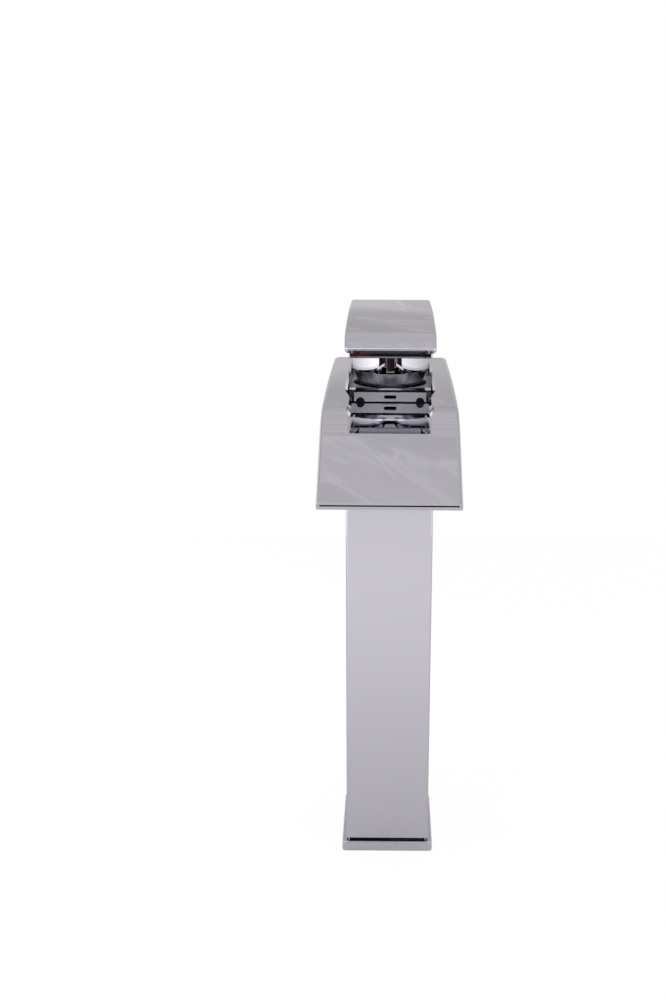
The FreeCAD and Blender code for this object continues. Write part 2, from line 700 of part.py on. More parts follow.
def is_spout_shoulder(edge):
    """The long upper edges at both sides and round the rear."""
    mid = edge.valueAt((edge.FirstParameter + edge.LastParameter) / 2)
    if abs(mid.x) < SPOUT_W / 2 - SPOUT_CORNER_R - 0.01 and mid.y < SPOUT_REAR_Y - 0.01:
        return False
    return edge.BoundBox.ZMin > floor_height(mid.y) + 0.5 and not is_upright(edge)


def is_upright(edge):
    return edge.BoundBox.XLength < 0.01 and edge.BoundBox.YLength < 0.01


def make_spout_cover():
    outside = spout_outside()
    rounded = round_edges(outside, SPOUT_EDGE_R, is_spout_shoulder)
    inside_rear = SPOUT_REAR_Y - CHEEK_T
    inside = below(SPOUT.edges(COVER_T, inside_rear), SPOUT_W / 2 - CHEEK_T, 0)
    inside = round_edges(inside, SPOUT_CORNER_R - CHEEK_T, lambda e: is_upright(e) and e.BoundBox.YMin > 0)
    cover = rounded.cut(inside)
    opening = Part.Face(opening_outline()).extrude(at(0, BIG))
    cover = cover.cut(opening)
    cover = cover.makeChamfer(WINDOW_CHAMFER, [e for e in cover.Edges if is_window_rim(e)])
    for x, y in cover_screw_places():
        boss = rod(BOSS_R, floor_height(y) + FIT, SPOUT_TOP, x, y).common(rounded)
        cover = cover.fuse(boss.cut(rod(SCREW_R + FIT, 0, FLOOR_Z + SCREW_LEN, x, y)))
    return cover


def is_window_rim(edge):
    """The window's upper edges: along its sides between the throat and the front corners."""
    b = edge.BoundBox
    if b.XLength > 0.01 or abs(abs(b.XMin) - WINDOW_HALF) > 0.01:
        return False
    mid = edge.valueAt((edge.FirstParameter + edge.LastParameter) / 2)
    return mid.y < THROAT_END_Y and on_outline(mid)


def on_outline(point):
    """Whether a point lies on the spout's top face."""
    flat = point.y > SPOUT.c2[0] - PAST and abs(point.z - SPOUT.height(point.y)) < 0.01
    nose = abs(math.hypot(point.y - SPOUT.c2[0], point.z - SPOUT.c2[1]) - NOSE_R) < 0.01
    return flat or nose


def pit_walls():
    """The walls of the hub's pit, and the low guides of the trough in front of it."""
    top = SPOUT.height(OUTLET_FRONT_Y, COVER_T) - 2 * FIT
    outer = PIT_HALF + PIT_WALL
    walls = box(-outer, outer, OUTLET_FRONT_Y, PIT_REAR_Y + PIT_WALL, FLOOR_Z - 1, top)
    walls = round_edges(walls, PIT_CORNER_R + PIT_WALL, lambda e: is_upright(e) and e.BoundBox.YMin > 0)
    core = box(-PIT_HALF, PIT_HALF, OUTLET_FRONT_Y - 1, PIT_REAR_Y, FLOOR_Z, top)
    core = round_edges(core, PIT_CORNER_R, lambda e: is_upright(e) and e.BoundBox.YMin > 0)
    guides = box(-outer, outer, FLOOR.start_y, OUTLET_FRONT_Y, FLOOR_Z - 1, TROUGH_TOP)
    trough = box(-PIT_HALF, PIT_HALF, FLOOR.start_y - 1, OUTLET_FRONT_Y + 1, FLOOR_Z, BIG)
    trough = round_edges(trough, TROUGH_FILLET, is_trough_corner)
    return walls.cut(core).fuse(guides.cut(trough))


def is_trough_corner(edge):
    b = edge.BoundBox
    return b.YLength > 1 and b.XLength < 0.01 and b.ZMax < FLOOR_Z + 0.01


def make_spout_tray():
    rear = SPOUT_REAR_Y - CHEEK_T - FIT
    sheet = slab(FLOOR.edges(0, rear), FLOOR.edges(TRAY_T, rear), TRAY_HALF)
    corner = SPOUT_CORNER_R - CHEEK_T
    sheet = round_edges(sheet, corner, lambda e: is_upright(e) and e.BoundBox.YMin > 0)
    tray = sheet.fuse(pit_walls()).removeSplitter()
    tray = tray.cut(rod(PIT_HOLE_R, FLOOR_UNDER - 1, FLOOR_Z + 1))
    tray = tray.cut(channel(FLOOR_UNDER - 1, FLOOR_Z + 1))
    for x, y in tray_screw_places():
        tray = tray.cut(screw_hole(x, y, FLOOR_Z - SCREW_SINK, BIG, up=False))
    for x, y in cover_screw_places():
        tray = tray.cut(screw_hole(x, y, FLOOR_UNDER + SCREW_SINK, BIG))
    return tray


def make_tray_screws():
    screws = [screw(x, y, FLOOR_Z - SCREW_SINK, SCREW_LEN - 1, up=False) for x, y in tray_screw_places()]
    return Part.makeCompound(screws)


def make_cover_screws():
    screws = [screw(x, y, FLOOR_UNDER + SCREW_SINK, SCREW_LEN) for x, y in cover_screw_places()]
    return Part.makeCompound(screws)


# ---- water outlet ----
def outlet_half():
    return PIT_HALF - FIT


def plate_low():
    return FLOOR_Z + FIT + PLATE_MARGIN


def port_z():
    return plate_low() + PORT_RISE


def oval(width, height, z, y0, y1):
    """A flat-sided oval bar along Y, centred on X = 0."""
    r = height / 2
    half = width / 2 - r
    ends = [rod_along((0, 1, 0), r, (sx * half, y0, z), y1 - y0) for sx in (-1, 1)]
    middle = box(-half, half, y0, y1, z - r, z + r)
    return middle.fuse(ends[0]).fuse(ends[1]).removeSplitter()


def make_outlet_block():
    half = outlet_half()
    low = FLOOR_Z + FIT
    block = box(-half, half, OUTLET_FRONT_Y, OUTLET_REAR_Y, low, OUTLET_TOP)
    block = round_edges(block, TROUGH_FILLET, is_trough_seat)
    recess = box(-PLATE_W / 2 - FIT, PLATE_W / 2 + FIT, OUTLET_FRONT_Y, OUTLET_FRONT_Y + PLATE_T + FIT,
                 plate_low() - FIT, plate_low() + PLATE_H + FIT)
    block = block.cut(recess)
    rear = CHANNEL_Y + CHANNEL_D / 2
    chamber = box(-CHANNEL_W / 2, CHANNEL_W / 2, OUTLET_FRONT_Y + PLATE_T, rear,
                  port_z() - CHAMBER_H / 2, port_z() + CHAMBER_H / 2)
    block = block.cut(chamber).cut(channel(low, port_z()))
    for side in (-1, 1):
        x = side * SIDE_HOLE_X
        block = block.cut(rod_along((0, 1, 0), SIDE_HOLE_R, (x, OUTLET_FRONT_Y, plate_low()), SIDE_HOLE_DEPTH))
    return block


def is_trough_seat(edge):
    b = edge.BoundBox
    return b.YLength > 1 and b.XLength < 0.01 and b.ZMax < FLOOR_Z + 2 * FIT


def make_outlet_plate():
    y0 = OUTLET_FRONT_Y
    y1 = OUTLET_FRONT_Y + PLATE_T
    plate = box(-PLATE_W / 2, PLATE_W / 2, y0, y1, plate_low(), plate_low() + PLATE_H)
    rim = oval(PORT_W + 2 * PORT_RING, PORT_H + 2 * PORT_RING, port_z(), y0 - PORT_PROUD, y0)
    plate = plate.fuse(rim).removeSplitter()
    plate = plate.cut(oval(PORT_W, PORT_H, port_z(), y0 - 1, y1))
    for side in (-1, 1):
        x = side * SIDE_HOLE_X
        plate = plate.cut(rod_along((0, 1, 0), SIDE_HOLE_R, (x, y0, plate_low()), PLATE_T))
    return plate


# ---- lever ----
def cone_radius(z):
    return HUB_R - (SPOUT_TOP - z) * math.tan(math.radians(CONE_SLOPE_DEG))


def make_hub_cone():
    """The skirt under the hub: its slope equals the lift, so it stays inside the pit."""
    low = CONE_BOTTOM
    inner_low = cone_radius(low) - CONE_LIP_T
    inner_top = HUB_R - SLEEVE_T - SPIGOT_T - FIT
    points = [(inner_low, low), (cone_radius(low), low)]
    points += [(cone_radius(SPOUT_TOP) - GROOVE_D, SPOUT_TOP), (HUB_R - SLEEVE_T - FIT, SPOUT_TOP)]
    points += [(HUB_R - SLEEVE_T - FIT, SPOUT_TOP + SPIGOT_H), (inner_top, SPOUT_TOP + SPIGOT_H)]
    points += [(inner_top, SPOUT_TOP)]
    return revolve(points)


def make_hub_sleeve():
    roof = SLEEVE_TOP - SLEEVE_ROOF_T
    points = [(HUB_R - SLEEVE_T, SPOUT_TOP), (HUB_R - GROOVE_D, SPOUT_TOP)]
    points += [(HUB_R - GROOVE_D, SPOUT_TOP + GROOVE_H), (HUB_R, SPOUT_TOP + GROOVE_H)]
    points += [(HUB_R, SLEEVE_TOP), (STEM_W * 0.75, SLEEVE_TOP), (STEM_W * 0.75, roof)]
    points += [(HUB_R - SLEEVE_T, roof)]
    return revolve(points)


def lever_fill(low, half, front, rear):
    """A block that ends under the lever's plate."""
    top = below(LEVER.edges(LEVER_T), half, low)
    return top.common(box(-half, half, front, rear, low, BIG))


def make_lever_block():
    block = lever_fill(SLEEVE_TOP, BLOCK_W / 2, BLOCK_FRONT_Y, BLOCK_REAR_Y)
    block = round_edges(block, BLOCK_EDGE_R, lambda e: is_upright(e) or e.BoundBox.ZMax < SLEEVE_TOP + 0.01)
    w = BLOCK_WALL
    hollow = box(-BLOCK_W / 2 + w, BLOCK_W / 2 - w, BLOCK_FRONT_Y + w, BLOCK_REAR_Y - w, SLEEVE_TOP + w, BIG)
    socket = STEM_W / 2 + SOCKET_WALL
    post = lever_fill(SLEEVE_TOP, socket, -socket, BLOCK_REAR_Y - w / 2)
    post = post.common(box(-socket, socket, -socket, BLOCK_REAR_Y, SLEEVE_TOP, SLEEVE_TOP + SOCKET_DEPTH + w))
    block = block.cut(hollow).fuse(post).removeSplitter()
    s = STEM_W / 2 + FIT
    block = block.cut(box(-s, s, -s, s, SLEEVE_TOP, SLEEVE_TOP + SOCKET_DEPTH))
    start = (0, s - 1, grub_z())
    block = block.cut(rod_along((0, 1, 0), GRUB_R + FIT, start, BIG))
    return block.cut(rod_along((0, 1, 0), CAP_R + FIT, (0, BLOCK_REAR_Y - CAP_T, grub_z()), BIG))


def grub_z():
    return SLEEVE_TOP + SOCKET_DEPTH / 2


def make_set_screw():
    start = STEM_W / 2 + FIT
    grub = rod_along((0, 1, 0), GRUB_R, (0, start, grub_z()), GRUB_LEN)
    mouth = start + GRUB_LEN - GRUB_SOCKET_DEPTH
    socket = rod_along((0, 1, 0), GRUB_SOCKET_R, (0, mouth, grub_z()), GRUB_SOCKET_DEPTH)
    return grub.cut(socket)


def make_set_screw_cap():
    cap = rod_along((0, 1, 0), CAP_R, (0, BLOCK_REAR_Y - CAP_T, grub_z()), CAP_T)
    stem_start = (0, BLOCK_REAR_Y - CAP_T - CAP_STEM_LEN, grub_z())
    stem = rod_along((0, 1, 0), GRUB_R - CAP_STEM_GAP, stem_start, CAP_STEM_LEN)
    return cap.fuse(stem).removeSplitter()


def make_lever_plate():
    plate = slab(LEVER.edges(0), LEVER.edges(LEVER_T), LEVER_W / 2)
    plate = round_edges(plate, LEVER_CORNER_R, is_lever_corner)
    return round_edges(plate, LEVER_EDGE_R, is_lever_shoulder)


def is_lever_corner(edge):
    """The four short edges through the plate's thickness."""
    return is_straight(edge) and abs(edge.Length - LEVER_T) < 0.01 and edge.BoundBox.XLength < 0.01


def is_lever_shoulder(edge):
    mid = edge.valueAt((edge.FirstParameter + edge.LastParameter) / 2)
    return outside_lever(mid) < 0.02 and not is_across(edge)


def is_across(edge):
    return is_straight(edge) and edge.BoundBox.XLength > LEVER_W / 2


def outside_lever(point):
    """How far a point is from the lever's upper face."""
    if point.y >= LEVER_BEND_Y:
        return abs(point.z - LEVER_TOP)
    start = LEVER.on_arc(LEVER.c1, LEVER_BEND_R, LEVER.a1)[0]
    if point.y >= start:
        return abs(math.hypot(point.y - LEVER.c1[0], point.z - LEVER.c1[1]) - LEVER_BEND_R)
    nose_end, nose_z = LEVER.on_arc(LEVER.c2, LEVER_NOSE_R, LEVER.a2)
    if point.y >= nose_end:
        return abs(math.hypot(point.y - LEVER.c2[0], point.z - LEVER.c2[1]) - LEVER_NOSE_R)
    return abs((point.y - nose_end) * -math.sin(LEVER.a2) + (point.z - nose_z) * math.cos(LEVER.a2))


PARTS = {
    "base_flange": make_base_flange,
    "base_gasket": make_base_gasket,
    "flange_screws": make_flange_screws,
    "inlet_block": make_inlet_block,
    "column_body": make_column_body,
    "hot_riser": lambda: make_riser(-1),
    "cold_riser": lambda: make_riser(1),
    "head_block": make_head_block,
    "spout_gasket": make_spout_gasket,
    "cartridge_base": make_cartridge_base,
    "cartridge_seals": make_cartridge_seals,
    "fixed_disc": make_fixed_disc,
    "moving_disc": make_moving_disc,
    "disc_slider": make_slider,
    "cartridge_housing": make_cartridge_housing,
    "cartridge_nut": make_cartridge_nut,
    "bonnet_ring": make_bonnet_ring,
    "lever_rotor": make_lever_rotor,
    "pivot_pin": make_pivot_pin,
    "lever_stem": make_lever_stem,
    "spout_tray": make_spout_tray,
    "tray_screws": make_tray_screws,
    "spout_cover": make_spout_cover,
    "cover_screws": make_cover_screws,
    "outlet_block": make_outlet_block,
    "outlet_plate": make_outlet_plate,
    "hub_cone": make_hub_cone,
    "hub_sleeve": make_hub_sleeve,
    "lever_block": make_lever_block,
    "lever_plate": make_lever_plate,
    "set_screw": make_set_screw,
    "set_screw_cap": make_set_screw_cap,
}

for name, make in PARTS.items():
    shape = make()
    solids = shape.Solids
    print(name, "solids", len(solids), "valid", shape.isValid(), "volume", round(shape.Volume, 1))
    shape.exportStep("parts/" + name + ".step")
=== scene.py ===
# %% [markdown]
# # A waterfall faucet in chrome
# The faucet is a tall square column with an arched, hollow spout and a flat lever on a round hub.
# Nearly everything that shows is chrome plate, and chrome has no colour of its own: what we see in it
# is the room. So this lesson spends as much care on the light tent round the faucet as on the metal.
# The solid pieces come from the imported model. They stay where they are and get their finishes here.

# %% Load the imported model
import math

import bpy
from mathutils import Matrix, Vector


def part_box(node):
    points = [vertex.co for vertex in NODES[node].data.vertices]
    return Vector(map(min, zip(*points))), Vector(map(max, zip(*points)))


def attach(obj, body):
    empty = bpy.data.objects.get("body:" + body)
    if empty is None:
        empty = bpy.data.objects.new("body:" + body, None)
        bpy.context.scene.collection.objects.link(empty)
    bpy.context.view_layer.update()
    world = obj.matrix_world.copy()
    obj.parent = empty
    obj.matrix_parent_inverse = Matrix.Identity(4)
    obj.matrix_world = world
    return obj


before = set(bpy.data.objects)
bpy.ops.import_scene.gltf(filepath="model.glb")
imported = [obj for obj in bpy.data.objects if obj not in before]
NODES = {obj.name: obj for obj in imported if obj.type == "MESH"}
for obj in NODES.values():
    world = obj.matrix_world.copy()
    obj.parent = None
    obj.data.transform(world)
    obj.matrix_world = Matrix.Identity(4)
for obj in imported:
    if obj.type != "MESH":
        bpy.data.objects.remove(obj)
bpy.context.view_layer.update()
MM = 0.001
print("pieces in the packed model:", len(NODES))

# %% [markdown]
# ## The camera
# The photograph was taken from straight in front and a little above, from about half a metre.
# So near, the spout's lip looks wider than the rest, and the column narrows towards the deck.
# A long lens from further away would lose both, so the distance matters as much as the angle.
# The numbers were fitted to the column's width, the base's edges and the ring line on the hub. The
# lens is given in pixels of the photograph's height, and the shift only moves the faucet to its place
# in the frame.

# %% Set the camera
FRAME_HEIGHT_PX = 1000
SENSOR = 36.0
FOCAL_PX = 1085.0
CAMERA_Y = -0.5555
CAMERA_Z = 0.361
CAMERA_PITCH = 14.1
CAMERA_ROLL = 0.4
AXIS_RIGHT_PX = 56.8
AXIS_UP_PX = 47.0


def make_camera():
    """A camera straight in front of the spout, pitched down a little and rolled a touch."""
    data = bpy.data.cameras.new("front_camera")
    data.sensor_width = SENSOR
    data.lens = FOCAL_PX / FRAME_HEIGHT_PX * SENSOR
    data.shift_x = -AXIS_RIGHT_PX / FRAME_HEIGHT_PX
    data.shift_y = -AXIS_UP_PX / FRAME_HEIGHT_PX
    camera = bpy.data.objects.new("front_camera", data)
    bpy.context.scene.collection.objects.link(camera)
    tilt = Matrix.Rotation(math.radians(90 - CAMERA_PITCH), 4, "X")
    roll = Matrix.Rotation(math.radians(CAMERA_ROLL), 4, "Z")
    camera.matrix_world = Matrix.Translation((0, CAMERA_Y, CAMERA_Z)) @ tilt @ roll
    bpy.context.scene.camera = camera
    return camera


print("camera lens (mm):", round(make_camera().data.lens, 2))

# %% [markdown]
# ## Small helpers for nodes
# A material is a graph, and graphs read badly as code. These few helpers keep each one short. The
# first adds a node and fills its input sockets, with a value or with a link. The others each add one
# node that comes up often, and return the socket that it gives.

# %% A helper that adds a node
NODES_IN_A_ROW = 6
NODE_STEP = Vector((240, -320))


def add_node(tree, kind, inputs=None, **properties):
    """Adds a node, sets its properties, then fills its inputs: a socket is linked, a value is set."""
    count = len(tree.nodes)
    node = tree.nodes.new(kind)
    node.location = (NODE_STEP.x * (count % NODES_IN_A_ROW), NODE_STEP.y * (count // NODES_IN_A_ROW))
    for key, value in properties.items():
        setattr(node, key, value)
    for key, value in (inputs or {}).items():
        if isinstance(value, bpy.types.NodeSocket):
            tree.links.new(value, node.inputs[key])
        else:
            node.inputs[key].default_value = value
    return node


print("node helper:", add_node.__name__)

# %% Helpers for sums and ranges


def maths(tree, operation, first, second=None, clamp=False):
    """A sum of one or two sockets or plain numbers."""
    inputs = {0: first} if second is None else {0: first, 1: second}
    return add_node(tree, "ShaderNodeMath", inputs, operation=operation, use_clamp=clamp).outputs[0]


def remap(tree, value, low, high, out_low=0.0, out_high=1.0, smooth=True):
    """Maps low..high to out_low..out_high, with soft ends unless smooth is off."""
    inputs = {"Value": value, "From Min": low, "From Max": high, "To Min": out_low, "To Max": out_high}
    kind = "SMOOTHSTEP" if smooth else "LINEAR"
    return add_node(tree, "ShaderNodeMapRange", inputs, interpolation_type=kind).outputs["Result"]


print("number helpers:", maths.__name__, remap.__name__)

# %% Helpers for places and noise


def object_place(tree):
    """Where each point lies on its object."""
    return add_node(tree, "ShaderNodeTexCoord").outputs["Object"]


def split(tree, place):
    """The X, Y and Z of a place, each a socket."""
    return add_node(tree, "ShaderNodeSeparateXYZ", {0: place}).outputs


def mapped(tree, place, scale, rotation=(0, 0, 0), kind="POINT"):
    """A place turned and stretched. TEXTURE takes the scale as lengths, POINT as how fine."""
    inputs = {"Vector": place, "Rotation": rotation, "Scale": scale}
    return add_node(tree, "ShaderNodeMapping", inputs, vector_type=kind).outputs[0]


def noise(tree, place, **inputs):
    """The value of a noise over a place."""
    return add_node(tree, "ShaderNodeTexNoise", {"Vector": place, **inputs}).outputs["Fac"]


print("place helpers:", object_place.__name__, split.__name__, mapped.__name__, noise.__name__)

# %% Helpers for materials
PURE_WHITE = (1, 1, 1, 1)


def fresh_material(name):
    """An empty material and its tree."""
    material = bpy.data.materials.new(name)
    material.use_nodes = True
    material.node_tree.nodes.clear()
    return material, material.node_tree


def glow(tree, colour, strength):
    return add_node(tree, "ShaderNodeEmission", {"Color": colour, "Strength": strength}).outputs[0]


def mixed_shader(tree, share, first, second):
    return add_node(tree, "ShaderNodeMixShader", {0: share, 1: first, 2: second}).outputs[0]


def surface(tree, shader):
    add_node(tree, "ShaderNodeOutputMaterial", {"Surface": shader})


print("material helpers:", fresh_material.__name__, glow.__name__, mixed_shader.__name__,
      surface.__name__)

# %% [markdown]
# The table, the tent, the boards and the ledge are meshes that the script lays out point by point.
# One helper turns points and faces into an object, so each only has to say where its points are.

# %% A helper for meshes


def mesh_object(name, points, faces, material):
    """An object made of these faces, in this material, placed in the scene."""
    mesh = bpy.data.meshes.new(name)
    mesh.from_pydata(points, [], faces)
    mesh.materials.append(material)
    thing = bpy.data.objects.new(name, mesh)
    bpy.context.scene.collection.objects.link(thing)
    return thing


print("mesh helper:", mesh_object.__name__)

# %% [markdown]
# ## The table
# The faucet stands on a plain white table. In the photograph it is so bright that it has no edge.
# It is a real diffuse surface, so it takes the faucet's soft shadow and shows in the column. Rays
# straight from the camera get some glow on top, which lifts it to white. It also glows by itself,
# more so towards the camera: the upper column mirrors that stretch, and is lighter than its foot.

# %% The table's white
TABLE_WHITE = (0.68, 0.675, 0.695, 1)
GLOW_TINT = (1, 0.99, 1, 1)
GLOW_AT_FAUCET = 0.16
GLOW_IN_FRONT = 0.70
GLOW_RISES_Y = (-0.04, -0.64)
CAMERA_SHARE = 0.86
CAMERA_GLOW = 1.05


def make_table_material():
    material, tree = fresh_material("white_table")
    y = split(tree, object_place(tree))["Y"]
    towards = remap(tree, y, *GLOW_RISES_Y, GLOW_AT_FAUCET, GLOW_IN_FRONT, smooth=False)
    diffuse = add_node(tree, "ShaderNodeBsdfDiffuse", {"Color": TABLE_WHITE}).outputs[0]
    added = glow(tree, GLOW_TINT, towards)
    lit = add_node(tree, "ShaderNodeAddShader", {0: diffuse, 1: added}).outputs[0]
    is_camera = add_node(tree, "ShaderNodeLightPath").outputs["Is Camera Ray"]
    share = maths(tree, "MULTIPLY", is_camera, CAMERA_SHARE)
    surface(tree, mixed_shader(tree, share, lit, glow(tree, PURE_WHITE, CAMERA_GLOW)))
    return material


TABLE_MATERIAL = make_table_material()
print("nodes in the table's white:", len(TABLE_MATERIAL.node_tree.nodes))

# %% [markdown]
# The table ends a metre and a quarter in front of the faucet. The column mirrors only the table, but
# the hub looks out over its edge into the dark room: that is the dark band down the hub's middle.

# %% Lay the table top
TABLE_SIDE_X = 0.80
TABLE_FRONT_Y = -1.25
TABLE_REAR_Y = 0.53


def make_table():
    corners = [(-TABLE_SIDE_X, TABLE_FRONT_Y, 0), (TABLE_SIDE_X, TABLE_FRONT_Y, 0),
               (TABLE_SIDE_X, TABLE_REAR_Y, 0), (-TABLE_SIDE_X, TABLE_REAR_Y, 0)]
    table = mesh_object("table_top", corners, [(0, 1, 2, 3)], TABLE_MATERIAL)
    return table


print("table size (m):", [round(length, 2) for length in make_table().dimensions])

# %% [markdown]
# ## The light tent
# Product photographers put chrome in a white cloth tent, so that it mirrors cloth and not the room.
# The tent is open at the front for the camera, and through that opening the hub sees the room.
# A world picture could stand in for it, but a real sheet close by is better: the faucet's flat faces
# then see different places of the cloth from top to bottom. Its folds give the streaks in the spout.
# It is a dome whose plan and arch are rounded squares, and each point is found by its direction.

# %% The tent's shape
TENT_REACH = Vector((0.56, 0.62, 0.78))
TENT_SQUARE = 3.2
TENT_LOW_DEG = -1.0
TENT_STEPS_ROUND = 96
TENT_STEPS_UP = 36


def tent_point(turn, rise):
    """A point of the tent: turn is from the camera's side, rise from the table, in radians."""
    way = Vector((math.cos(rise) * math.sin(turn), -math.cos(rise) * math.cos(turn), math.sin(rise)))
    scaled = [abs(way[k] / TENT_REACH[k]) ** TENT_SQUARE for k in range(3)]
    return way / sum(scaled) ** (1 / TENT_SQUARE)


def even_steps(low, high, steps):
    return [low + (high - low) * k / steps for k in range(steps + 1)]


print("tent top (m):", round(tent_point(0, math.pi / 2).z, 2))

# %% Cut the opening for the camera
OPENING_HALF_DEG = 34.0
OPENING_TOP_DEG = 34.0


def make_tent(material):
    turns = even_steps(-math.pi, math.pi, TENT_STEPS_ROUND)
    rises = even_steps(math.radians(TENT_LOW_DEG), math.pi / 2, TENT_STEPS_UP)
    across = len(turns)
    faces = []
    for row in range(TENT_STEPS_UP):
        for col in range(TENT_STEPS_ROUND):
            turn = math.degrees((turns[col] + turns[col + 1]) / 2)
            rise = math.degrees((rises[row] + rises[row + 1]) / 2)
            if abs(turn) < OPENING_HALF_DEG and rise < OPENING_TOP_DEG:
                continue
            first = row * across + col
            faces.append((first, first + 1, first + 1 + across, first + across))
    points = [tuple(tent_point(turn, rise)) for rise in rises for turn in turns]
    tent = mesh_object("light_tent", points, faces, material)
    tent.data.shade_smooth()
    tent.visible_camera = False
    tent.visible_shadow = False
    return tent


print("opening of the tent (degrees):", 2 * OPENING_HALF_DEG, "wide and", OPENING_TOP_DEG, "high")

# %% [markdown]
# The cloth glows by itself, as if lamps stood outside it. It is brightest low down at the sides, where
# those lamps would be. They give more light at the front than at the rear, and at the left than at
# the right. The flap over the camera, the folds and these lamps were chosen to match the reflections
# in the photograph.

# %% The light from the sides
MIDDLE_GLOW = 0.60
SIDE_GLOW_FRONT = 1.75
SIDE_GLOW_REAR = 0.90
SIDE_LENGTH_Y = (-0.50, 0.45)
SIDE_STARTS_X = (0.22, 0.42)
SIDE_FADES_Z = (0.62, 0.36)
UNEVEN_X = (-0.30, 0.30)
UNEVEN_GLOW = (1.06, 0.84)


def side_light(tree, xyz):
    """What the lamps at the sides add to the cloth's middle glow."""
    sides = remap(tree, maths(tree, "ABSOLUTE", xyz["X"]), *SIDE_STARTS_X)
    low = remap(tree, xyz["Z"], *SIDE_FADES_Z)
    along = remap(tree, xyz["Y"], *SIDE_LENGTH_Y, SIDE_GLOW_FRONT, SIDE_GLOW_REAR, smooth=False)
    uneven = remap(tree, xyz["X"], *UNEVEN_X, *UNEVEN_GLOW)
    lamps = maths(tree, "SUBTRACT", maths(tree, "MULTIPLY", along, uneven), MIDDLE_GLOW)
    return maths(tree, "MULTIPLY", maths(tree, "MULTIPLY", sides, low), lamps)


print("side glow, front and rear:", SIDE_GLOW_FRONT, SIDE_GLOW_REAR)

# %% [markdown]
# Elsewhere the glow only changes with height. The flap over the camera is bright too: it is the only
# light that reaches the water outlet under the lever.

# %% The light from the back, the top and the flap
BACK_GLOW = 0.63
BACK_ENDS_Z = (0.40, 0.48)
TOP_GLOW = 0.76
TOP_STARTS_Z = (0.64, 0.77)
FLAP_GLOW = 1.3
FLAP_STARTS_Y = (-0.40, -0.55)
FLAP_STARTS_Z = (0.36, 0.42)


def height_light(tree, xyz):
    """The cloth's own glow: the low back, the middle, then the top."""
    back = remap(tree, xyz["Z"], *BACK_ENDS_Z, BACK_GLOW, MIDDLE_GLOW)
    overhead = remap(tree, xyz["Z"], *TOP_STARTS_Z, 0.0, TOP_GLOW - MIDDLE_GLOW)
    return maths(tree, "ADD", back, overhead)


def flap_light(tree, xyz):
    """What the flap over the camera adds."""
    in_front = remap(tree, xyz["Y"], *FLAP_STARTS_Y)
    above = remap(tree, xyz["Z"], *FLAP_STARTS_Z)
    return maths(tree, "MULTIPLY", maths(tree, "MULTIPLY", in_front, above), FLAP_GLOW)


print("glow of the back, the top and the flap:", BACK_GLOW, TOP_GLOW, FLAP_GLOW)

# %% [markdown]
# Long slanted folds darken the cloth in streaks, and each fold has a thin bright crest. Both come from
# one noise, stretched along the folds: the crest lies where its value passes the middle.

# %% Folds in the cloth
FOLD_SLANT = -28.0
FOLD_LENGTHS = (0.20, 0.040, 0.15)
FOLD_BAND = (0.36, 0.66)
FOLD_DEPTH = 0.07
CREST_GLOW = 0.12
CREST_WIDTH = 0.030
NOISE_MIDDLE = 0.5


def fold_shade(tree, place):
    """A factor for the cloth's own glow, a little over or under one."""
    turned = mapped(tree, place, FOLD_LENGTHS, (0, 0, math.radians(FOLD_SLANT)), "TEXTURE")
    folds = noise(tree, turned, Scale=1.0, Detail=4.0, Roughness=0.50, Distortion=0.6)
    crease = remap(tree, folds, *FOLD_BAND, 1 - FOLD_DEPTH, 1 + FOLD_DEPTH / 2)
    from_crest = maths(tree, "ABSOLUTE", maths(tree, "SUBTRACT", folds, NOISE_MIDDLE))
    return maths(tree, "ADD", crease, remap(tree, from_crest, 0.0, CREST_WIDTH, CREST_GLOW, 0.0))


print("fold slant (degrees):", FOLD_SLANT)

# %% Hang the tent
CLOTH_WHITE = (1.0, 0.985, 1.0, 1)


def make_cloth():
    material, tree = fresh_material("tent_cloth")
    place = object_place(tree)
    xyz = split(tree, place)
    own = maths(tree, "MULTIPLY", height_light(tree, xyz), fold_shade(tree, place))
    with_sides = maths(tree, "ADD", own, side_light(tree, xyz))
    strength = maths(tree, "ADD", with_sides, flap_light(tree, xyz))
    surface(tree, glow(tree, CLOTH_WHITE, strength))
    return material


print("faces in the tent:", len(make_tent(make_cloth()).data.polygons))

# %% [markdown]
# ## The room behind the camera
# Through the tent's opening the chrome sees an unlit room. The camera itself sees a white background,
# as the photograph has. One world shader does both, by asking what kind of ray reaches it.

# %% Set the world
ROOM_DARK = (0.018, 0.016, 0.018, 1)


def make_world():
    world = bpy.data.worlds.new("dark_room")
    world.use_nodes = True
    tree = world.node_tree
    tree.nodes.clear()
    dark = add_node(tree, "ShaderNodeBackground", {"Color": ROOM_DARK}).outputs[0]
    white = add_node(tree, "ShaderNodeBackground", {"Color": PURE_WHITE}).outputs[0]
    is_camera = add_node(tree, "ShaderNodeLightPath").outputs["Is Camera Ray"]
    add_node(tree, "ShaderNodeOutputWorld", {"Surface": mixed_shader(tree, is_camera, dark, white)})
    bpy.context.scene.world = world
    bpy.context.scene.view_settings.view_transform = "Standard"
    return world


print("world:", make_world().name)

# %% [markdown]
# A room is never quite empty. Three upright boards stand in the dark beyond the table, and the round
# hub squeezes each into a thin line: that is where the brown, red and beige streaks in it come from.
# The column is flat, so it looks past them at the table. Each board is given by its turn from straight
# ahead and half its width, both in degrees as seen from the hub, because that is how the hub bends it.

# %% Stand the boards in the room
BOARD_DISTANCE = 1.40
BOARD_LOW = -0.10
BOARD_TOP = 0.34
BOARDS = {"brown_board": (-12.0, 3.0, (0.17, 0.14, 0.13, 1)),
          "red_board": (-3.0, 1.6, (0.10, 0.015, 0.02, 1)),
          "beige_board": (16.5, 4.0, (0.36, 0.28, 0.24, 1))}


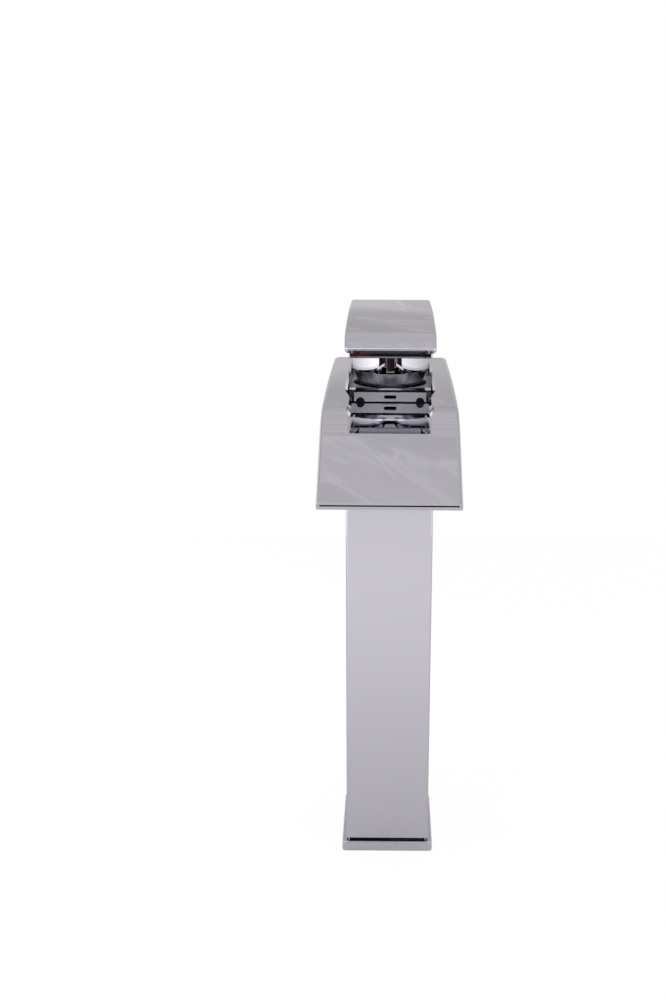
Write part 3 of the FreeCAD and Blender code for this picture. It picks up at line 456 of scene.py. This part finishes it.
def make_board(name, turn_deg, half_deg, colour):
    points = []
    for degrees in (turn_deg - half_deg, turn_deg + half_deg):
        turn = math.radians(degrees)
        x, y = BOARD_DISTANCE * math.sin(turn), -BOARD_DISTANCE * math.cos(turn)
        points += [(x, y, BOARD_LOW), (x, y, BOARD_TOP)]
    material, tree = fresh_material(name)
    surface(tree, glow(tree, colour, 1.0))
    board = mesh_object(name, points, [(0, 1, 3, 2)], material)
    board.visible_camera = False
    return board


for board_name, values in BOARDS.items():
    board_width = make_board(board_name, *values).dimensions.x
    print(board_name, "width (m):", round(board_width, 2))

# %% [markdown]
# ## Finishes that several metals share
# New chrome isn't a perfect mirror. Polishing leaves a faint haze, handling leaves hairlines, and the
# plated sheet keeps long shallow waves from forming. Each of these is one node group, placed in every
# material that needs it with its own values. A group gives one number that changes over the surface,
# such as a mask or a roughness. The shader itself stays in the material.

# %% Helpers for node groups


def new_group(name, inputs):
    """A node group with number inputs {name: default}. Returns it and the sockets of its inputs."""
    group = bpy.data.node_groups.new(name, "ShaderNodeTree")
    for key, value in inputs.items():
        socket = group.interface.new_socket(key, in_out="INPUT", socket_type="NodeSocketFloat")
        socket.default_value = value
    return group, add_node(group, "NodeGroupInput").outputs


def close_group(group, name, value):
    """Gives the group its output."""
    group.interface.new_socket(name, in_out="OUTPUT", socket_type="NodeSocketFloat")
    add_node(group, "NodeGroupOutput", {name: value})
    print("group", group.name, "has", len(group.nodes), "nodes")
    return group


def use_group(tree, group, **inputs):
    """Places a group with its own values. Returns the socket of its output."""
    return add_node(tree, "ShaderNodeGroup", inputs, node_tree=group).outputs[0]


print("group helpers:", new_group.__name__, close_group.__name__, use_group.__name__)

# %% [markdown]
# Hairlines are long thin marks in two directions. A noise that is stretched hard along one axis gives
# them, and cutting it off high leaves only a few. A second noise makes them come in patches.

# %% Hairlines
HAIRLINE_SLANTS = (18.0, -31.0)
HAIRLINE_SCALE = (2400.0, 90.0, 60.0)
HAIRLINE_CUT = (0.60, 0.72)
PATCH_SCALE = 45.0
PATCH_CUT = (0.42, 0.62)


def make_hairlines():
    group, given = new_group("hairlines", {"Density": 0.5, "Fineness": 1.0})
    place = object_place(group)
    marks = []
    for slant in HAIRLINE_SLANTS:
        turned = mapped(group, place, HAIRLINE_SCALE, (0, math.radians(slant), math.radians(slant)))
        lines = noise(group, turned, Scale=given["Fineness"], Detail=2.0)
        marks.append(remap(group, lines, *HAIRLINE_CUT))
    patch = remap(group, noise(group, place, Scale=PATCH_SCALE, Detail=1.0), *PATCH_CUT)
    patched = maths(group, "MULTIPLY", maths(group, "MAXIMUM", *marks), patch)
    return close_group(group, "Mask", maths(group, "MULTIPLY", patched, given["Density"]))


HAIRLINES = make_hairlines()

# %% [markdown]
# Polishing haze is a cloud of slightly rougher spots. The group gives a roughness between two values.

# %% Polishing haze
HAZE_CUT = (0.35, 0.70)


def make_haze():
    group, given = new_group("polishing_haze", {"Scale": 30.0, "Low": 0.02, "High": 0.06})
    cloud = noise(group, object_place(group), Scale=given["Scale"], Detail=4.0, Roughness=0.6)
    span = maths(group, "SUBTRACT", given["High"], given["Low"])
    grown = maths(group, "MULTIPLY", remap(group, cloud, *HAZE_CUT), span)
    return close_group(group, "Roughness", maths(group, "ADD", grown, given["Low"]))


HAZE = make_haze()

# %% [markdown]
# The waves are far shallower than anything one could feel. They only make straight reflections
# tremble, which is how the eye tells a formed and polished sheet from glass.

# %% Forming waves


def make_waves():
    group, given = new_group("forming_waves", {"Scale": 40.0})
    waves = noise(group, object_place(group), Scale=given["Scale"], Detail=1.0)
    return close_group(group, "Height", waves)


WAVES = make_waves()

# %% [markdown]
# Edges wear. On the inner metals this mask keeps the tarnish off them; on the chrome it lightens the
# colour along every edge, which is partly wear and partly a painted edge highlight. The Bevel node
# bends the normal near an edge, so comparing it with the true normal finds every edge without any
# marking by hand. A fine noise breaks the line up.

# %% Worn edges and a painted edge highlight
EDGE_SAMPLES = 4
EDGE_RADIUS = 0.4 * MM
EDGE_BEND = (0.995, 0.90)
EDGE_BREAK_SCALE = 600.0
EDGE_BREAK_CUT = (0.35, 0.60)


def make_edge_wear_and_highlight():
    # One mask for worn edges and for the chrome's painted edge highlight.
    group, given = new_group("edge_wear_and_highlight", {"Amount": 1.0})
    flat = add_node(group, "ShaderNodeNewGeometry").outputs["Normal"]
    bent = add_node(group, "ShaderNodeBevel", {"Radius": EDGE_RADIUS}, samples=EDGE_SAMPLES).outputs[0]
    same = add_node(group, "ShaderNodeVectorMath", {0: flat, 1: bent}, operation="DOT_PRODUCT")
    edge = remap(group, same.outputs["Value"], *EDGE_BEND)
    broken = noise(group, object_place(group), Scale=EDGE_BREAK_SCALE, Detail=3.0)
    broken_edges = maths(group, "MULTIPLY", edge, remap(group, broken, *EDGE_BREAK_CUT))
    return close_group(group, "Mask", maths(group, "MULTIPLY", broken_edges, given["Amount"]))


EDGE_WEAR_AND_HIGHLIGHT = make_edge_wear_and_highlight()

# %% [markdown]
# ## Chrome plate
# Chromium sends back a little over half of the light, a touch more in the blue. That is why white cloth
# looks grey in it. The colour is therefore darker than one expects, and the roughness is close to none.
# The skirt under the hub has the same plate with a softer shine: it faces a narrow pit, and a clear
# mirror there would show nothing but the pit's dark seams.

# %% Helpers for the shader


def principled(tree, inputs):
    """The material's Principled BSDF. Its constant values are set on its own sockets."""
    surface(tree, add_node(tree, "ShaderNodeBsdfPrincipled", inputs).outputs[0])


def blended(tree, share, first, second):
    """A colour between two."""
    inputs = {"Factor": share, "A": first, "B": second}
    return add_node(tree, "ShaderNodeMix", inputs, data_type="RGBA").outputs["Result"]


def bumped(tree, height, strength, distance):
    """The normal of a surface that is raised by this height."""
    inputs = {"Strength": strength, "Distance": distance, "Height": height}
    return add_node(tree, "ShaderNodeBump", inputs).outputs[0]


print("shader helpers:", principled.__name__, blended.__name__, bumped.__name__)

# %% Chrome plate
CHROME = (0.560, 0.552, 0.590, 1)
# The lighter chrome along the edges: partly wear, partly a painted edge highlight.
CHROME_EDGE_WEAR_AND_HIGHLIGHT = (0.66, 0.655, 0.68, 1)
HAIRLINE_ROUGHNESS = 0.05
WAVE_DEPTH = 0.06 * MM


def chrome_like(name, low, high):
    """Plated metal, hazed from low to high, with hairlines, waves, and worn edges with a painted
    highlight.
    """
    material, tree = fresh_material(name)
    haze = use_group(tree, HAZE, Scale=30.0, Low=low, High=high)
    lines = maths(tree, "MULTIPLY", use_group(tree, HAIRLINES, Density=0.5), HAIRLINE_ROUGHNESS)
    waves = use_group(tree, WAVES, Scale=28.0)
    # This mask lightens the chrome along every edge: partly wear, partly a painted edge highlight.
    edge_mask = use_group(tree, EDGE_WEAR_AND_HIGHLIGHT, Amount=0.8)
    principled(tree, {"Metallic": 1.0, "Base Color": blended(tree, edge_mask, CHROME, CHROME_EDGE_WEAR_AND_HIGHLIGHT),
                      "Roughness": maths(tree, "ADD", haze, lines),
                      "Normal": bumped(tree, waves, strength=0.6, distance=WAVE_DEPTH)})
    return material


MATERIALS = {"chrome_plate": chrome_like("polished_chrome", 0.012, 0.045)}
SKIRT_CHROME = chrome_like("soft_chrome", 0.20, 0.30)
print("chrome finishes:", MATERIALS["chrome_plate"].name, SKIRT_CHROME.name)

# %% [markdown]
# ## Satin chrome
# The plate in the outlet is blasted, so it shows an even pale blue-grey and no clear reflection. The
# blasting is a fine grit in the bump. The shader is less than half metal, because a full metal would
# show only the little light that gets in under the lever.

# %% Satin chrome
SATIN = (0.66, 0.68, 0.74, 1)
GRIT_DEPTH = 0.02 * MM


def make_satin():
    material, tree = fresh_material("satin_chrome")
    grit = noise(tree, object_place(tree), Scale=9000.0, Detail=2.0)
    principled(tree, {"Metallic": 0.45, "Base Color": SATIN,
                      "Roughness": use_group(tree, HAZE, Scale=220.0, Low=0.42, High=0.55),
                      "Normal": bumped(tree, grit, strength=0.35, distance=GRIT_DEPTH)})
    return material


MATERIALS["satin_chrome"] = make_satin()
print("outlet plate:", MATERIALS["satin_chrome"].name)

# %% [markdown]
# ## The metals inside
# Brass, copper and steel show only from below or when the faucet is taken apart. Each is the same
# recipe with other values: a colour that clouds between fresh and tarnished, haze, and rubbed edges.

# %% The recipe for an inner metal
TARNISH_CUT = (0.40, 0.68)
GRAIN_STRETCH = 6
GRAIN_DEPTH = 0.03 * MM


def inner_metal(name, fresh, tarnished, low, high, grain):
    """A metal between two colours, with haze from low to high and marks of this grain."""
    material, tree = fresh_material(name)
    place = object_place(tree)
    dull = remap(tree, noise(tree, place, Scale=55.0, Detail=5.0), *TARNISH_CUT)
    kept = maths(tree, "SUBTRACT", dull, use_group(tree, EDGE_WEAR_AND_HIGHLIGHT, Amount=0.9), clamp=True)
    turned = mapped(tree, place, (grain, grain, grain * GRAIN_STRETCH))
    marks = noise(tree, turned, Scale=1.0, Detail=3.0)
    principled(tree, {"Metallic": 1.0, "Base Color": blended(tree, kept, fresh, tarnished),
                      "Roughness": use_group(tree, HAZE, Scale=60.0, Low=low, High=high),
                      "Normal": bumped(tree, marks, strength=0.3, distance=GRAIN_DEPTH)})
    return material


print("recipe:", inner_metal.__name__)

# %% Brass, copper and steel
INNER_METALS = {
    "cast_brass": ("cast_brass", (0.80, 0.60, 0.30, 1), (0.48, 0.33, 0.15, 1), 0.26, 0.48, 900.0),
    "copper_tube": ("drawn_copper", (0.86, 0.46, 0.30, 1), (0.42, 0.20, 0.13, 1), 0.18, 0.40, 1400.0),
    "steel_fasteners": ("bright_steel", (0.62, 0.61, 0.60, 1), (0.42, 0.41, 0.40, 1),
                        0.16, 0.34, 2000.0)}
for slot_name, values in INNER_METALS.items():
    MATERIALS[slot_name] = inner_metal(*values)
    print("inner metal:", MATERIALS[slot_name].name)

# %% [markdown]
# ## Rubber, plastic and ceramic
# The soft and moulded pieces are not metal. What tells them apart is how they take the light: rubber
# is dull and slightly dusty, the cartridge's plastic has a soft moulded gloss, and the ceramic discs
# are lapped flat until they shine.

# %% The recipe for a moulded skin
SHADE_CUT = (0.35, 0.70)


def moulded(name, fresh, shaded, low, high, grain, depth):
    """A skin between two colours, with haze from low to high and a grain of this depth."""
    material, tree = fresh_material(name)
    place = object_place(tree)
    shade = remap(tree, noise(tree, place, Scale=80.0, Detail=4.0), *SHADE_CUT)
    skin = noise(tree, place, Scale=grain, Detail=3.0)
    principled(tree, {"Base Color": blended(tree, shade, fresh, shaded),
                      "Roughness": use_group(tree, HAZE, Scale=120.0, Low=low, High=high),
                      "Normal": bumped(tree, skin, strength=0.4, distance=depth)})
    return material


print("recipe:", moulded.__name__)

# %% Rubber, plastic and ceramic
MOULDED_SKINS = {
    "black_rubber": ("black_rubber", (0.016, 0.016, 0.017, 1), (0.035, 0.034, 0.033, 1),
                     0.55, 0.80, 2600.0, 0.06 * MM),
    "cartridge_plastic": ("moulded_plastic", (0.70, 0.69, 0.66, 1), (0.60, 0.59, 0.56, 1),
                          0.32, 0.48, 1800.0, 0.03 * MM),
    "disc_ceramic": ("lapped_ceramic", (0.86, 0.84, 0.80, 1), (0.80, 0.78, 0.74, 1),
                     0.08, 0.16, 4000.0, 0.01 * MM)}
for slot_name, values in MOULDED_SKINS.items():
    MATERIALS[slot_name] = moulded(*values)
    print("skin:", MATERIALS[slot_name].name)

# %% [markdown]
# ## The ledge round the hub
# The photograph shows light round the hub's skirt, but not what the pit under it looks like inside.
# So this ledge is a guess: a level satin sheet in the pit, just under the top of the water outlet.
# The skirt leans outwards and looks down at it, and the pale sheet scatters the tent's light up to
# the skirt, where the bare pit is dark. It is the only piece that the scene adds. It is fitted
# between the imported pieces, so what it can be measured by is read from them.
# The plan is a rounded square with a round hole, joined ring to ring and thickened. The hole leaves
# the skirt room to swing forward when the lever is lifted.

# %% How far the ledge reaches
OUTLET_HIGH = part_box("outlet_block")[1]
SPOUT_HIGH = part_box("spout_cover")[1]
LEDGE_GAP = 0.05 * MM
PIT_TO_SPOUT_REAR = 12.5 * MM
PIT_CORNER_R = 7.0 * MM
LEAST_SLOPE = 1e-6


def ledge_reach(angle):
    """How far the ledge goes from the hub's axis in this direction, out to the pit's wall."""
    half = OUTLET_HIGH.x
    front = OUTLET_HIGH.y + LEDGE_GAP
    rear = SPOUT_HIGH.y - PIT_TO_SPOUT_REAR - LEDGE_GAP
    way = Vector((math.cos(angle), math.sin(angle)))
    reach = half / max(abs(way.x), LEAST_SLOPE)
    if abs(way.y) > LEAST_SLOPE:
        reach = min(reach, (rear if way.y > 0 else front) / way.y)
    corner = Vector((math.copysign(half - PIT_CORNER_R, way.x), rear - PIT_CORNER_R))
    tip = way * reach
    if tip.y > corner.y and abs(tip.x) > abs(corner.x):
        along = way.dot(corner)
        reach = along + math.sqrt(PIT_CORNER_R ** 2 - corner.length_squared + along ** 2)
    return reach


print("ledge reach to the right and the rear (mm):",
      round(ledge_reach(0) / MM, 2), round(ledge_reach(math.pi / 2) / MM, 2))

# %% Lay the ledge
LEDGE_DROP = 0.2 * MM
LEDGE_T = 1.5 * MM
LEDGE_HOLE_R = 18.9 * MM
LEDGE_RIM_MIN = 0.2 * MM
RIM_STEPS = 144


def make_ledge():
    top = OUTLET_HIGH.z - LEDGE_DROP
    low = top - LEDGE_T
    points = []
    faces = []
    for k in range(RIM_STEPS):
        angle = 2 * math.pi * k / RIM_STEPS
        outer = ledge_reach(angle)
        inner = min(LEDGE_HOLE_R, outer - LEDGE_RIM_MIN)
        for radius, z in ((inner, top), (outer, top), (outer, low), (inner, low)):
            points.append((radius * math.cos(angle), radius * math.sin(angle), z))
        here, there = 4 * k, 4 * ((k + 1) % RIM_STEPS)
        for a in range(4):
            b = (a + 1) % 4
            faces.append((here + a, here + b, there + b, there + a))
    ledge = mesh_object("hub_ledge", points, faces, MATERIALS["satin_chrome"])
    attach(ledge, "faucet")
    return ledge


print("faces in the ledge:", len(make_ledge().data.polygons))

# %% [markdown]
# ## Dressing the pieces
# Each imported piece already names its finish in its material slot, so one loop dresses all of them.
# Only the hub's skirt then gets its softer chrome.

# %% Give every piece its finish
for piece in NODES.values():
    for slot in piece.material_slots:
        slot.material = MATERIALS[slot.material.name.split(".")[0]]
for slot in NODES["hub_cone"].material_slots:
    slot.material = SKIRT_CHROME
print("finishes in use:", len(MATERIALS) + 1)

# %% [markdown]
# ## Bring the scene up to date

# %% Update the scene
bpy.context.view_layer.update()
